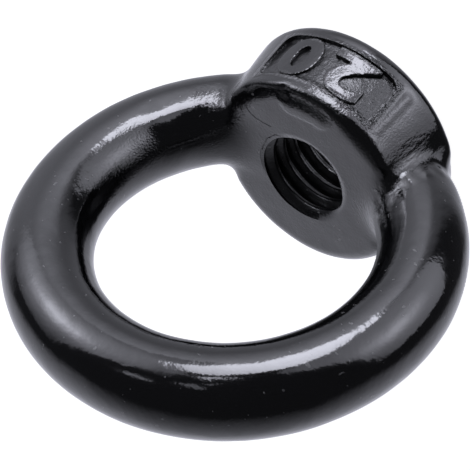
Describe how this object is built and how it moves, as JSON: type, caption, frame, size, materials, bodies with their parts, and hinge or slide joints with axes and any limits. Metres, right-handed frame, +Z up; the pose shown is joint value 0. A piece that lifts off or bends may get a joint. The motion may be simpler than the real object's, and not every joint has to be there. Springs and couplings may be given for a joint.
{
  "type": "lifting eye nut",
  "caption": "Forged lifting eye nut: a closed round-bar ring growing out of a tapered round boss with a threaded bore, black gloss finish.",
  "frame": {"origin": "centre of the flat seating face at the bottom of the boss, on the thread's axis", "axes": "+Z up the thread's axis from the seat towards the eye; the ring lies in the XZ plane, so +Y passes straight through the eye; the size panel faces -Y"},
  "size_m": [0.033, 0.018, 0.0316],
  "materials": {
    "black_enamel": "gloss"
  },
  "bodies": {
    "root": {"eye_nut": "black_enamel"}
  },
  "joints": []
}
